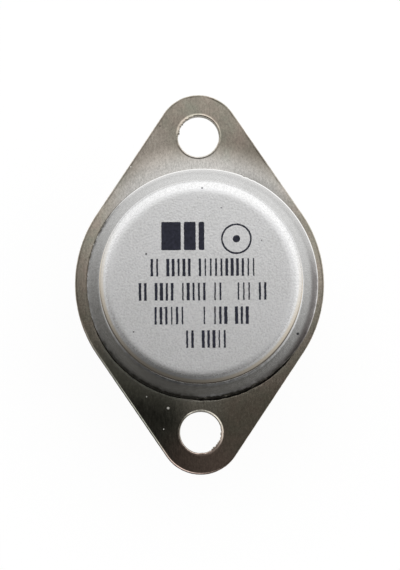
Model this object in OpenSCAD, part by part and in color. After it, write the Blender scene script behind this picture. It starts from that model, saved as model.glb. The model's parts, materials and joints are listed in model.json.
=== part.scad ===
// Power transistor in a two-hole metal can.
// An oval stamped header carries a welded steel cap, two glass-sealed leads and the chip.
// Millimetres. The origin is the middle of the two mounting holes on the seating face.
// +Z goes up through the cap, +Y along the line of the mounting holes, the leads go down.

/* [Header] */
// Distance between the centres of the two mounting holes
hole_spacing = 30.15; // [29:0.05:32]
// Diameter of each mounting hole
hole_d = 4.2; // [3.6:0.05:4.8]
// Width of the header across its round middle
header_w = 25.3; // [24.8:0.1:27.5]
// Radius of the rounded end about each mounting hole
lobe_r = 4.23; // [3.6:0.05:5.2]
// Thickness of the header plate
header_t = 1.55; // [1.2:0.05:2.2]
// Radius of the edge that stamping rolls over on the seating side
roll_r = 0.2; // [0.05:0.01:0.35]

/* [Cap] */
// Outside diameter of the cap's wall
cap_d = 19.95; // [18.5:0.05:20.5]
// Height of the cap's flat top above the header plate
cap_h = 7.05; // [5:0.05:9]
// Thickness of the sheet that the cap is drawn from
cap_t = 0.5; // [0.35:0.01:0.65]
// Outside radius of the shoulder between wall and top
shoulder_r = 0.95; // [0.75:0.05:1.6]
// Outside diameter of the brim
brim_d = 23.2; // [22.6:0.05:23.8]
// Inside radius of the bend between wall and brim
foot_r = 0.4; // [0.2:0.05:0.5]
// Radius of the brim's outer top edge
brim_edge_r = 0.15; // [0.05:0.01:0.2]
// Height of the weld ring, which holds the brim off the header
weld_h = 0.12; // [0.05:0.01:0.25]
// Width of the weld ring
weld_w = 0.45; // [0.25:0.05:0.5]
// How far the cap is welded off centre, along X
cap_shift_x = 0.18; // [-0.25:0.01:0.25]
// How far the cap is welded off centre, along Y
cap_shift_y = -0.05; // [-0.25:0.01:0.25]

/* [Leads] */
// Distance between the two leads
lead_spacing = 10.92; // [10.4:0.02:11.4]
// Distance of the line of the leads from the middle of the mounting holes
lead_line = 1.82; // [1.4:0.02:2.2]
// Diameter of a lead where it is dipped in tin, below the header
lead_d = 1.05; // [0.95:0.01:1.2]
// Diameter of the bare lead, through its seal and inside the can
lead_core_d = 0.99; // [0.8:0.01:1.1]
// Length of a lead below the seating face
lead_len = 11.8; // [9:0.1:14]
// Bare length between the seating face and the start of the tin
lead_bare = 0.3; // [0.2:0.05:1]
// Length over which the tin thickens from the bare lead to its full diameter
tin_taper = 0.65; // [0.55:0.05:1.2]
// Length of the tapered tip
lead_tip = 0.3; // [0.1:0.05:0.6]
// Height of the bonding face above the header plate
post_h = 2.3; // [1.6:0.05:3]
// Diameter of the flattened head that the wires are bonded to
head_d = 2.1; // [1.8:0.05:2.4]
// Thickness of the flattened head
head_t = 0.35; // [0.2:0.05:0.5]
// Height of the taper from the lead to its head
head_taper = 0.3; // [0.1:0.05:0.5]

/* [Glass seals] */
// Diameter of the seal holes in the header
seal_d = 2.9; // [2.4:0.05:3.2]
// Depth of the glass below each face of the header
seal_inset = 0.08; // [0.02:0.01:0.2]
// Depth of the hollow that the glass draws between lead and header
meniscus = 0.14; // [0.05:0.01:0.2]

/* [Heat spreader] */
// Diameter of the copper heat spreader
spreader_d = 12.6; // [11:0.1:14]
// Thickness of the heat spreader
spreader_t = 1.2; // [0.8:0.05:1.4]
// Clearance between the heat spreader and the rim of each seal
spreader_gap = 0.5; // [0.3:0.05:0.9]
// Thickness of the braze under the heat spreader
braze_t = 0.06; // [0.03:0.01:0.12]
// How far the braze creeps out round the heat spreader
braze_creep = 0.15; // [0.05:0.01:0.25]

/* [Chip] */
// Side of the square silicon chip
die_w = 4.4; // [3.8:0.1:5]
// Thickness of the chip
die_t = 0.3; // [0.2:0.01:0.4]
// Depth of the step etched round the chip's top
mesa_h = 0.1; // [0.05:0.01:0.15]
// Width of the step etched round the chip's top
mesa_w = 0.22; // [0.1:0.01:0.3]
// Thickness of the contact metal on the chip
metal_t = 0.03; // [0.02:0.01:0.05]
// Width of each contact's bus bar
bus_w = 0.85; // [0.7:0.05:1]
// Number of emitter fingers, with one base finger fewer between them
fingers = 5; // [3:1:7]
// Space between the two contacts, as a share of the finger pitch
finger_space = 0.22; // [0.15:0.01:0.4]
// Thickness of the solder under the chip
solder_t = 0.07; // [0.03:0.01:0.12]
// How far the solder stands out round the chip
solder_edge = 0.18; // [0.05:0.01:0.3]
// Diameter of the silicone coat over the chip
coat_d = 7.8; // [7.4:0.1:8.4]
// Height of the coat's crown above the heat spreader
coat_h = 1.3; // [1:0.05:1.7]

/* [Bond wires] */
// Diameter of a bond wire
wire_d = 0.38; // [0.25:0.01:0.42]
// Height of a wire's arch above the straight line between its two bonds
wire_rise = 1.5; // [1.2:0.05:2]
// Length of a bond foot, as a number of wire diameters
foot_len = 2.1; // [1.6:0.1:2.4]
// Width of a bond foot, as a number of wire diameters
foot_wid = 1.4; // [1.2:0.1:1.6]
// Height of a bond foot, as a number of wire diameters
foot_ht = 0.7; // [0.6:0.05:0.8]
// Clear space between the two emitter wires' feet on their lead
foot_gap = 0.2; // [0.1:0.05:0.35]

/* [Hidden] */
$fn = 96;
// Margin by which a cutting shape runs past the face that it cuts
over = 1;

// Header outline: a round middle and two lobes joined by straight tangents
mid_r = header_w / 2;
lobe_y = hole_spacing / 2;
tangent_a = asin((mid_r - lobe_r) / lobe_y);
// The straight edges lie just inside the true tangents, so that they cross the arcs cleanly
tuck = 0.02;
straight_r = mid_r - tuck;
apex_x = straight_r / cos(tangent_a);
apex_y = straight_r / sin(tangent_a);

// Cap, measured from the header's top face
cap_r = cap_d / 2;
brim_r = brim_d / 2;
brim_top = weld_h + cap_t;
weld_r = (cap_r + foot_r + brim_r) / 2;

// Leads, seals and the stack from the header's top face to the chip's contact metal
emitter_xy = [-lead_spacing / 2, lead_line];
base_xy = [lead_spacing / 2, lead_line];
post_z = header_t + post_h;
spreader_z = header_t + braze_t;
solder_z = spreader_z + spreader_t;
die_z = solder_z + solder_t;
contact_z = die_z + die_t;
bond_z = contact_z + metal_t;

// Contact metal: two bus bars along Y, and fingers that fit between each other along X
mesa_side = die_w - 2 * mesa_w;
finger_pitch = mesa_side / (2 * fingers - 1);
finger_side = finger_pitch * (1 - finger_space);
metal_edge = finger_pitch * finger_space / 2;
bus_x = mesa_side / 2 - metal_edge - bus_w / 2;
finger_len = mesa_side - 2 * metal_edge - bus_w - finger_pitch * finger_space;

// Bond feet. The two emitter wires land side by side on their lead
foot_side = foot_wid * wire_d;
emitter_step = (foot_side + foot_gap) / 2;
emitter_pad_y = mesa_side / 4;

// ---- Shapes used more than once ----

// What a rounded outside corner loses, with the corner at [0, 0] and the solid at -X, -Y
module corner_waste(r) {
    difference() {
        translate([-r, -r]) square(r + over);
        translate([-r, -r]) circle(r);
    }
}

// What fills a rounded inside corner, with the corner at [0, 0] and open space at +X, +Y
module corner_fill(r) {
    difference() {
        square(r);
        translate([r, r]) circle(r);
    }
}

// Puts a child at the +X side and its mirror image at the -X side
module both_sides_x() {
    children();
    mirror([1, 0, 0]) children();
}

// Puts a child at the +Y end and its mirror image at the -Y end
module both_ends_y() {
    children();
    mirror([0, 1, 0]) children();
}

// ---- Header ----

// What stamping rolls over along a bottom edge at [0, 0]: two bevels that follow a quarter round.
// Both run on past the faces that they cut
module roll_waste() {
    knee = 1 - cos(45);
    mirror([0, 1]) polygon(concat(
        roll_r * [[knee - 2, knee], [-knee, -knee], [knee, knee - 2]],
        [[over, -2 * roll_r], [over, over], [-2 * roll_r, over]]
    ));
}

// Half section of what an arc of the outline cuts away: all outside it, and the rolled edge
module arc_waste(r) {
    translate([r, -over]) square([apex_y, header_t + 2 * over]);
    translate([r, 0]) roll_waste();
}

// A kite on the four straight edges, with its corners cut back to the arcs about the middle
// and the mounting holes, and its bottom edge rolled over all round
module header_plate() {
    difference() {
        linear_extrude(header_t) polygon([[apex_x, 0], [0, apex_y], [-apex_x, 0], [0, -apex_y]]);
        both_sides_x() {
            rotate(-tangent_a) rotate_extrude(angle = 2 * tangent_a) arc_waste(mid_r);
            both_ends_y() rotate([90, 0, tangent_a]) translate([straight_r, 0, -apex_y])
                linear_extrude(2 * apex_y) roll_waste();
        }
        both_ends_y() translate([0, lobe_y]) rotate(tangent_a)
            rotate_extrude(angle = 180 - 2 * tangent_a) arc_waste(lobe_r);
    }
}

// A punched mounting hole, with its lower mouth rolled over like the outline
module mounting_hole() {
    rotate_extrude() {
        translate([0, -over]) square([hole_d / 2, header_t + 2 * over]);
        translate([hole_d / 2, 0]) rotate(180) corner_waste(roll_r);
    }
}

module header() {
    color([0.62, 0.59, 0.55]) difference() {
        header_plate();
        both_ends_y() translate([0, lobe_y]) mounting_hole();
        for (xy = [emitter_xy, base_xy])
            translate([xy.x, xy.y, -over]) cylinder(d = seal_d, h = header_t + 2 * over);
    }
}

// ---- Cap ----

// Half section of the space inside the drawn cap, with the bend of its mouth
module cap_inside() {
    difference() {
        translate([0, -over]) square([cap_r - cap_t, cap_h - cap_t + over]);
        translate([cap_r - cap_t, cap_h - cap_t]) corner_waste(shoulder_r - cap_t);
    }
    translate([cap_r - cap_t, weld_h]) corner_fill(foot_r + cap_t);
    translate([0, -over]) square([cap_r + foot_r, weld_h + over]);
}

// Half section of the cap's outer form
module cap_outside() {
    difference() {
        translate([0, weld_h]) square([cap_r, cap_h - weld_h]);
        translate([cap_r, cap_h]) corner_waste(shoulder_r);
    }
    difference() {
        translate([0, weld_h]) square([brim_r, cap_t]);
        translate([brim_r, brim_top]) corner_waste(brim_edge_r);
    }
    translate([cap_r, brim_top]) corner_fill(foot_r);
}

module cap() {
    color([0.78, 0.78, 0.78]) translate([cap_shift_x, cap_shift_y, header_t]) rotate_extrude() {
        difference() {
            cap_outside();
            cap_inside();
        }
        translate([weld_r - weld_w / 2, 0]) square([weld_w, weld_h]);
    }
}

// ---- Leads and glass seals ----

// A round lead with a tapered tip, a tinned length and a flattened head
module lead(xy) {
    core_r = lead_core_d / 2;
    tin_r = lead_d / 2;
    head_r = head_d / 2;
    color([0.75, 0.74, 0.7]) translate([xy.x, xy.y, 0]) rotate_extrude() polygon([
        [0, -lead_len],
        [tin_r / 2, -lead_len],
        [tin_r, lead_tip - lead_len],
        [tin_r, -lead_bare - tin_taper],
        [core_r, -lead_bare],
        [core_r, post_z - head_t - head_taper],
        [head_r, post_z - head_t],
        [head_r, post_z],
        [0, post_z]
    ]);
}

// The hollow that wetting glass leaves on a seal, as an arc from lead to header
module meniscus_cut() {
    half = (seal_d - lead_core_d) / 4;
    arc_r = (half * half + meniscus * meniscus) / (2 * meniscus);
    translate([lead_core_d / 2 + half, arc_r - meniscus]) circle(arc_r);
}

// A glass bead fused between a lead and the header
module seal(xy) {
    glass_h = header_t - 2 * seal_inset;
    color([0.16, 0.2, 0.18]) translate([xy.x, xy.y, seal_inset]) rotate_extrude() difference() {
        translate([lead_core_d / 2, 0]) square([(seal_d - lead_core_d) / 2, glass_h]);
        translate([0, glass_h]) meniscus_cut();
        mirror([0, 1]) meniscus_cut();
    }
}

// ---- Chip stack ----

// A disc that gives way to the two seals
module spreader_outline(creep) {
    difference() {
        circle(spreader_d / 2 + creep);
        for (xy = [emitter_xy, base_xy])
            translate(xy) circle(seal_d / 2 + spreader_gap - creep);
    }
}

module spreader_braze() {
    color([0.8, 0.72, 0.55]) translate([0, 0, header_t])
        linear_extrude(braze_t) spreader_outline(braze_creep);
}

module heat_spreader() {
    color([0.72, 0.43, 0.27]) translate([0, 0, spreader_z])
        linear_extrude(spreader_t) spreader_outline(0);
}

module die_solder() {
    color([0.6, 0.6, 0.62]) translate([0, 0, solder_z])
        linear_extrude(solder_t) square(die_w + 2 * solder_edge, center = true);
}

// One contact: a bus bar at -X, with fingers that reach towards +X
module contact(count) {
    translate([-bus_x, 0]) square([bus_w, mesa_side - 2 * metal_edge], center = true);
    for (i = [0 : count - 1])
        translate([-bus_x, (2 * i - count + 1) * finger_pitch - finger_side / 2])
            square([bus_w / 2 + finger_len, finger_side]);
}

// The contact metal that lies on the chip: the emitter's comb, cut back where the base's lies
module contact_metal() {
    spacing = finger_pitch * finger_space;
    difference() {
        contact(fingers);
        translate([bus_x, 0]) square([bus_w + 2 * spacing, mesa_side], center = true);
    }
    for (i = [0 : fingers - 2])
        translate([-bus_x + bus_w / 2 + spacing, (2 * i - fingers + 2) * finger_pitch - finger_side / 2])
            square([finger_len - spacing, finger_side]);
    translate([bus_x, 0]) square([bus_w, mesa_side - 2 * metal_edge], center = true);
}

module die() {
    color([0.35, 0.37, 0.42]) translate([0, 0, die_z]) {
        linear_extrude(die_t - mesa_h) square(die_w, center = true);
        linear_extrude(die_t) square(mesa_side, center = true);
        linear_extrude(die_t + metal_t) contact_metal();
    }
}

// ---- Bond wires ----

// A flattened bond foot, with its bottom face at its own origin and its length along X
module bond_foot() {
    straight = (foot_len - foot_wid) * wire_d;
    linear_extrude(foot_ht * wire_d) {
        square([straight, foot_side], center = true);
        both_sides_x() translate([straight / 2, 0]) circle(d = foot_side);
    }
}

// A wire that arches from one bonding face to another, with a foot at each end
module bond_wire(from, to) {
    run = norm([to.x - from.x, to.y - from.y]);
    climb = to.z - from.z;
    heading = atan2(to.y - from.y, to.x - from.x);
    chord = norm([run, climb]);
    slope = atan2(climb, run);
    arch_r = (chord * chord / 4 + wire_rise * wire_rise) / (2 * wire_rise);
    half_a = chord / 2 > wire_rise ? asin(chord / 2 / arch_r) : 180 - asin(chord / 2 / arch_r);
    drop = arch_r - wire_rise;
    color([0.8, 0.81, 0.83]) translate(from) rotate(heading) {
        bond_foot();
        translate([run, 0, climb]) bond_foot();
        translate([run / 2 + drop * sin(slope), 0, wire_d / 2 + climb / 2 - drop * cos(slope)])
            rotate([90, 0, 0]) rotate(slope + 90 - half_a)
                rotate_extrude(angle = 2 * half_a) translate([arch_r, 0]) circle(d = wire_d);
    }
}

// Side is 1 for the emitter wire that lies further along +Y, and -1 for the other
module emitter_wire(side) {
    bond_wire(
        [-bus_x, side * emitter_pad_y, bond_z],
        [emitter_xy.x, emitter_xy.y + side * emitter_step, post_z]
    );
}

module base_wire() {
    bond_wire([bus_x, 0, bond_z], [base_xy.x, base_xy.y, post_z]);
}

// ---- Chip coat ----

// A low dome of silicone that wets the heat spreader round the chip
module chip_coat() {
    dome_r = (coat_d * coat_d / 4 + coat_h * coat_h) / (2 * coat_h);
    color([0.86, 0.86, 0.83]) difference() {
        translate([0, 0, solder_z]) rotate_extrude() intersection() {
            translate([0, coat_h - dome_r]) circle(dome_r);
            square([coat_d, coat_h + over]);
        }
        die_solder();
        die();
        emitter_wire(1);
        emitter_wire(-1);
        base_wire();
    }
}

header();
cap();
seal(emitter_xy);  // emitter_seal
seal(base_xy);  // base_seal
lead(emitter_xy);  // emitter_lead
lead(base_xy);  // base_lead
spreader_braze();
heat_spreader();
die_solder();
die();
emitter_wire(1);  // emitter_wire_1
emitter_wire(-1);  // emitter_wire_2
base_wire();
chip_coat();
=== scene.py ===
"""Dresses a power transistor in a two-hole metal can.

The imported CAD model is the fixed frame. This script gives the stamped header, the drawn cap, the
leads and the glass seals their finer form, stamps plain marks on the cap, and gives every piece
its finish. Sizes below are millimetres, and each mesh is scaled to metres when it is made.
"""

import json
import math

import bmesh
import bpy
from mathutils import Matrix, Vector, noise
from mathutils.geometry import delaunay_2d_cdt
from mathutils.kdtree import KDTree


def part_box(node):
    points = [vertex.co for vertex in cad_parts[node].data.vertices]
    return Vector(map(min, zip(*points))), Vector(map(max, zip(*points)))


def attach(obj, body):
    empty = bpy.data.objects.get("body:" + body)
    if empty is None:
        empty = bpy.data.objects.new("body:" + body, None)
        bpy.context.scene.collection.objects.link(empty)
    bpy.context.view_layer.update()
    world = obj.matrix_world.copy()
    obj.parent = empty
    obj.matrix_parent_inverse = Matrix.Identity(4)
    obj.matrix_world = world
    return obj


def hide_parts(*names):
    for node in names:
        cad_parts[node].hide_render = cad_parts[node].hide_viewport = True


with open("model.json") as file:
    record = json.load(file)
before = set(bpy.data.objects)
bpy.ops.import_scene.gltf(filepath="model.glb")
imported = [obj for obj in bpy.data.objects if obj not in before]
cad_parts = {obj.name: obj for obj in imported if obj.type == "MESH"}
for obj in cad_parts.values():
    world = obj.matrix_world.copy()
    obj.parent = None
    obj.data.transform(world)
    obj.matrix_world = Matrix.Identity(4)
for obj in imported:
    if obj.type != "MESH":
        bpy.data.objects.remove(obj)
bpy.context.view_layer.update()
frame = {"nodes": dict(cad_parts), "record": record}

MM = 0.001
BODY = "root"

# ---- Sizes read from the frame ----


def box_mm(node_name):
    """Lowest and highest corner of a CAD node, in millimetres."""
    low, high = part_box(node_name)
    return Vector(low) / MM, Vector(high) / MM


MOUNTS = {m["name"]: m for m in frame["record"]["mounts"]}
HEADER_HIGH = box_mm("header")[1]
CAP_LOW, CAP_HIGH = box_mm("cap")
LEAD_LOW, LEAD_HIGH = box_mm("base_lead")
DIE_TOP = box_mm("die")[1].z

HEADER_T = HEADER_HIGH.z
MID_R = HEADER_HIGH.x
HOLE_Y = MOUNTS["mounting_holes"]["dims"]["spacing_y_mm"] / 2
HOLE_R = MOUNTS["mounting_holes"]["dims"]["hole_r_mm"]
LOBE_R = HEADER_HIGH.y - HOLE_Y
TANGENT = math.asin((MID_R - LOBE_R) / HOLE_Y)

CAP_X = (CAP_LOW.x + CAP_HIGH.x) / 2
CAP_Y = (CAP_LOW.y + CAP_HIGH.y) / 2
CAP_TOP = CAP_HIGH.z
BRIM_R = (CAP_HIGH.x - CAP_LOW.x) / 2

LEAD_X = MOUNTS["base_lead_end"]["pos_m"][0] / MM
LEAD_Y = MOUNTS["base_lead_end"]["pos_m"][1] / MM
LEAD_R = MOUNTS["base_lead_end"]["dims"]["r_mm"]

# ---- Sizes of the dressed pieces ----

ROLL_R = 0.2            # radius that stamping rolls over on the header's seating side
EDGE_FLAT = 0.07        # narrow flat band inside each rolled edge
BURR_H = 0.022          # height of the burr that stamping raises along each top edge
EDGE_BURR_W = 0.20      # width over which the burr rises along the outline
HOLE_BURR_W = 0.22      # the same at a mounting hole
BURR_SHARES = (1, 0.82, 0.66, 0.5, 0.38, 0.25, 0.12)  # rows across the burr, as shares of its width
TEAR_DEPTH = 0.03       # how far the torn part of a stamped edge lies back
TEAR_ROUGH = 0.03       # how uneven that part is
TORN_SHARES = (0.06, 0.14, 0.22, 0.30, 0.38, 0.46)  # its rows, as shares of the thickness
CUT_SHARES = (0.5, 0.65, 0.8)   # rows of the smooth part below it
RAGGED_AT = {1: 160, -1: -45}   # the ragged side of the upper and the lower hole, in degrees
RAGGED_DEPTH = 0.30     # how far the lip is pushed in there
RAISED_AT = 50          # the side of the lower hole whose burr stands highest
WELD_RISE = 0.115       # how far the header rises towards the weld
WELD_REACH = 3.1        # how far out from the brim that rise is felt
FACE_DROP = 0.008       # room that the top face leaves for its waves
HOLLOW_DEPTH = 0.03     # a shallow hollow beside the brim, on the upper right
HOLLOW_REACH = 1.0
GROOVE_DEPTH = 0.24     # how deep the groove at the brim is where it is fully formed
SEAM_OUT = 0.42         # width of the finely meshed seam outside the brim
SEAM_IN = 0.50          # how far that seam reaches in under the brim
SEAM_ROWS = (0.34, 0.27, 0.21, 0.16, 0.12, 0.08, 0.04, 0.0, -0.08, -0.16, -0.25, -0.35)
SEAL_R = 1.45
CORE_R = 0.495
WALL_R = 9.975          # outside radius of the cap's wall
SHEET_T = 0.5           # thickness of the sheet that the cap is drawn from
SHOULDER_R = 0.95
FOOT_R = 0.4
BRIM_EDGE_R = 0.09
BRIM_FALL = 0.07        # how far the brim falls towards its edge
BRIM_DROOP = 0.035      # how much further it falls on one side
DROOP_AT = -25          # that side, in degrees
BRIM_GROWTH = 0.11      # how far the brim's edge stands out of its profile
BRIM_SKEW = 0.14        # how much more or less that is across the brim
SKEW_AT = 20            # the side where it is most, in degrees
BITE = 0.20             # how far the weld burnt the brim's edge back
DOME_R = 620.0          # radius of the faint dome of the cap's top
TOP_RADII = (0, 3, 6, 8, 8.4)   # rows of the cap's top
# The shoulder's arcs from the top to the wall: radius, slope in degrees that each reaches, steps
SHOULDER_ARCS = [(4.5, 9, 6), (1.25, 41, 10), (0.11, 90, 7)]
SHOULDER_OUT = 9.93     # outside radius of the wall just under the shoulder
SHOULDER_SHADE_AT = 262         # the side of the shoulder, in degrees, where the tan tint and the brown painted shade are most
SHOULDER_SHADE_SPREAD = (122, 60)       # this many degrees from it the colour starts, and is full
SHOULDER_SHADE_DROP = (2.2, 0.9)        # the same for how far below the top
SHOULDER_SHADE_RADII = ((9.40, 9.65), (9.78, 9.9))  # where tan sets in and is full, and then brown
WELD_H = 0.12
WELD_R = 10.9875        # middle radius of the weld ring under the brim
WELD_W = 0.45
WELD_SINK = 0.01        # how far the weld ring reaches into the header
BRIM_LOW = HEADER_T + WELD_H    # height of the brim's underside
BEND_R = WALL_R + FOOT_R        # radius at which the bend ends and the brim starts
INK_T = 0.008           # thickness of the stamped ink
INK_SINK = 0.002        # how far the ink reaches into the cap
CAP_STEPS = 360
HOLE_STEPS = 144
LEAD_STEPS = 56
SIDE_STEPS = 100        # points along each side arc of the outline
LOBE_STEPS = 72         # points round each end of it
STRAIGHT_STEPS = 60     # points along each straight part
FACE_SPACING = 0.5      # distance between points on the header's open face
COVERED_SPACING = 1.5   # the same under the cap
SEAT_SPACING = 2.0      # the same on the seating side
SHARP_SHEET = 50        # the edges sharper than this many degrees stay crisp
SHARP_TURNED = 45
SHARP_INK = 30

# Sectors round the cap, in degrees: where each begins, is full, starts to fade and ends
HOLLOW_SECTOR = (12, 34, 62, 84)
GROOVE_RIGHT = (262, 270, 310, 326)
GROOVE_LEFT = (192, 222, 258, 268)
GROOVE_FAR_LEFT = (100, 135, 195, 215)
GROOVE_UPPER = (80, 110, 140, 165)
# soot and painted shade lie in the next three sectors
SMOKE_AND_SHADE_LEFT = (195, 222, 262, 272)
SMOKE_AND_SHADE_RIGHT = (262, 275, 325, 345)
SMOKE_AND_SHADE_EDGE = (125, 150, 318, 346)
# painted shade at the foot of the cap's wall, on its shaded side
BEND_SHADE_SECTOR = (200, 225, 300, 345)
BITE_SECTOR = (256, 274, 312, 336)
TORN_SECTOR = (268, 273, 305, 322)
HIGHLIGHT_FROM = (325, 350)  # the brim's edge has a painted highlight from here, past 0,
HIGHLIGHT_TO = (140, 115)    # to here
SMOKE_AND_SHADE_REACH = 0.55      # how far outside the brim the header is painted dark, with smoke and painted shade
# Soot and painted shade on the brim, by the distance from its edge, below 0 inside it: most, where it
# starts, where full
EDGE_SMOKE_AND_SHADE = (0.65, -0.16, -0.06)
LEFT_SOOT_AND_SHADE = (0.45, -0.70, -0.1)
RIGHT_SOOT_AND_SHADE = (0.08, -0.70, -0.1)
PAINTED_BEND_SHADE = (0.4, -1.15, -1.3)  # painted shade at the foot of the cap's wall
# Nicks in the brim's edge: angle in degrees, width in degrees and share of the full depth
NICKS = [(67.8, 0.7, 1.0), (64.5, 0.8, 0.6)]
NICK_DEPTH = 0.09

# ---- Camera and floor ----

CAMERA_OVER = Vector((0.6, -6.8))  # the point of the header that the camera stands over
CAMERA_HEIGHT = 159.7   # its height above the header's top face
CAMERA_AIM = Vector((0.053, -0.106))
CAMERA_ROLL = math.radians(-0.46)
LENS = 99.5
FLOOR_SIZE = 4000.0
FLOOR_GREY = 0.8        # the floor's own colour, which lights the object from below
FLOOR_MATTE = 0.16      # share that the studio light gives back, which a shadow takes away
FLOOR_GLOW = 0.90       # share of the floor's white that no shadow reaches


# ---- Mesh helpers ----


def ripple(x, y, z, scale):
    """Smooth noise from -1 to 1 at a point, where scale is the size of its features."""
    return noise.noise(Vector((x, y, z)) / scale)


def ease(value, start, end):
    """0 at start, 1 at end, with a smooth step between them. Start may be the larger."""
    t = min(1.0, max(0.0, (value - start) / (end - start)))
    return t * t * (3 - 2 * t)


def sector(degrees, stops):
    """1 inside a sector and 0 outside it, with smooth ends."""
    begin, full, fade, end = stops
    return ease(degrees, begin, full) * ease(degrees, end, fade)


def layer(value, stops):
    """Rises from 0 to its most between two values."""
    most, start, full = stops
    return most * ease(value, start, full)


def toward(degrees, side):
    """1 on one side, 0 a quarter turn away from it, and 0 beyond."""
    return max(0, math.cos(math.radians(degrees - side)))


def spoke(degrees, radius):
    """The level offset from an axis to a point at an angle and a distance."""
    angle = math.radians(degrees)
    return radius * math.cos(angle), radius * math.sin(angle)


def round_cap(point):
    """A point's angle about the cap's axis, in degrees from 0 to 360, and its distance from it."""
    x, y = point[0] - CAP_X, point[1] - CAP_Y
    return math.degrees(math.atan2(y, x)) % 360, math.hypot(x, y)


def arc(cx, cy, radius, start, end, steps):
    """Points on an arc, with angles in degrees."""
    angles = [math.radians(start + (end - start) * i / steps) for i in range(steps + 1)]
    return [(cx + radius * math.cos(a), cy + radius * math.sin(a)) for a in angles]


class Skin:
    """Points and faces gathered for a mesh, with a mark on the points of a stamped edge."""

    def __init__(self):
        self.verts = []
        self.faces = []
        self.edge = []

    def add(self, x, y, z, edge=0.0):
        """Adds a point and gives its index."""
        self.verts.append((x, y, z))
        self.edge.append(edge)
        return len(self.verts) - 1

    def wall(self, rows, columns, place):
        """Adds a closed strip of quads, and gives its first and last loop of point indices.
        place(row, column) gives a point's x, y and z, and may give its mark."""
        loops = [[self.add(*place(row, column)) for column in columns] for row in rows]
        for upper, lower in zip(loops, loops[1:]):
            count = len(upper)
            for k in range(count):
                n = (k + 1) % count
                self.faces.append((upper[k], upper[n], lower[n], lower[k]))
        return loops[0], loops[-1]


def add_object(name, data):
    """Puts a new object into the scene, at the origin."""
    obj = bpy.data.objects.new(name, data)
    bpy.context.scene.collection.objects.link(obj)
    return obj


def finish_mesh(built, mesh, sharp):
    """Turns the faces outward and shades them smooth up to a sharp angle in degrees."""
    bmesh.ops.recalc_face_normals(built, faces=built.faces)
    built.to_mesh(mesh)
    built.free()
    mesh.shade_smooth()
    mesh.set_sharp_from_angle(angle=math.radians(sharp))


def mesh_object(name, verts, faces, sharp, **marks):
    """Makes an object from points in millimetres.
    marks are named values from 0 to 1, one for each point, which the finish reads."""
    mesh = bpy.data.meshes.new(name)
    mesh.from_pydata([Vector(v) * MM for v in verts], [], faces)
    for mark, values in marks.items():
        mesh.attributes.new(mark, "FLOAT", "POINT").data.foreach_set("value", values)
    built = bmesh.new()
    built.from_mesh(mesh)
    finish_mesh(built, mesh, sharp)
    return add_object(name, mesh)


def turned(name, profile, steps, centre, sharp, shift=None):
    """A piece that is a profile turned about an upright axis."""
    return mesh_object(name, *turn(profile, steps, centre, shift), sharp)


def turn(profile, steps, centre, shift=None):
    """Points and faces of a profile [(radius, z), ...] turned about an upright axis.
    A profile that starts and ends on the axis closes there, and any other is a closed ring.
    shift(row, angle) gives a small change of (radius, z)."""
    verts, rows = [], []
    for i, (r, z) in enumerate(profile):
        if r == 0:
            rows.append([len(verts)] * steps)
            verts.append((centre[0], centre[1], z))
            continue
        rows.append(list(range(len(verts), len(verts) + steps)))
        for k in range(steps):
            angle = 2 * math.pi * k / steps
            dr, dz = shift(i, angle) if shift else (0, 0)
            x, y = (r + dr) * math.cos(angle), (r + dr) * math.sin(angle)
            verts.append((centre[0] + x, centre[1] + y, z + dz))
    pairs = list(zip(rows, rows[1:]))
    if profile[0][0] != 0:
        pairs.append((rows[-1], rows[0]))
    faces = []
    for lower, upper in pairs:
        for k in range(steps):
            n = (k + 1) % steps
            corners = [lower[k], lower[n], upper[n], upper[k]]
            faces.append(list(dict.fromkeys(corners)))
    return verts, faces


def dress(obj, material, slot, *cad_nodes):
    """Gives a piece its finish and its body, and lets it stand for its CAD nodes."""
    obj.data.materials.clear()
    obj.data.materials.append(material)
    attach(obj, BODY)
    if cad_nodes:
        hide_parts(*cad_nodes)
    return obj


# ---- Header ----


def outline_stations():
    """Points round the header's outline, each with its outward direction."""
    half_turn = math.pi
    arcs = [
        (0, MID_R, -TANGENT, TANGENT, SIDE_STEPS),
        (HOLE_Y, LOBE_R, TANGENT, half_turn - TANGENT, LOBE_STEPS),
        (0, MID_R, half_turn - TANGENT, half_turn + TANGENT, SIDE_STEPS),
        (-HOLE_Y, LOBE_R, half_turn + TANGENT, 2 * half_turn - TANGENT, LOBE_STEPS),
    ]
    stations = []
    for i, (y, radius, start, end, steps) in enumerate(arcs):
        for k in range(steps + 1):
            a = start + (end - start) * k / steps
            out = Vector((math.cos(a), math.sin(a)))
            stations.append((Vector((0, y)) + radius * out, out))
        next_y, next_radius = arcs[(i + 1) % 4][:2]
        last, out = stations[-1]
        target = Vector((0, next_y)) + next_radius * out
        for k in range(1, STRAIGHT_STEPS):
            stations.append((last.lerp(target, k / STRAIGHT_STEPS), out))
    return stations


def hole_stations(cx, cy, radius, steps):
    """Points round a hole, each with the direction that leads away from the metal."""
    stations = []
    for k in range(steps):
        a = 2 * math.pi * k / steps
        out = Vector((math.cos(a), math.sin(a)))
        stations.append((Vector((cx, cy)) + radius * out, -out))
    return stations


def header_height(x, y):
    """Height of the header's top face, which rises a little towards the weld."""
    degrees, r = round_cap((x, y))
    distance = r - BRIM_R
    share = min(1.0, max(0.0, 1 - distance / WELD_REACH))
    wave = 0.005 * ripple(x, y, 3.0, 5.0) + 0.0015 * ripple(x, y, 8.0, 1.6)
    near = max(0, 1 - max(0, distance) / HOLLOW_REACH) ** 2
    hollow = HOLLOW_DEPTH * sector(degrees, HOLLOW_SECTOR) * near
    return HEADER_T - WELD_RISE - FACE_DROP + WELD_RISE * share * share + wave - hollow


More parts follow.
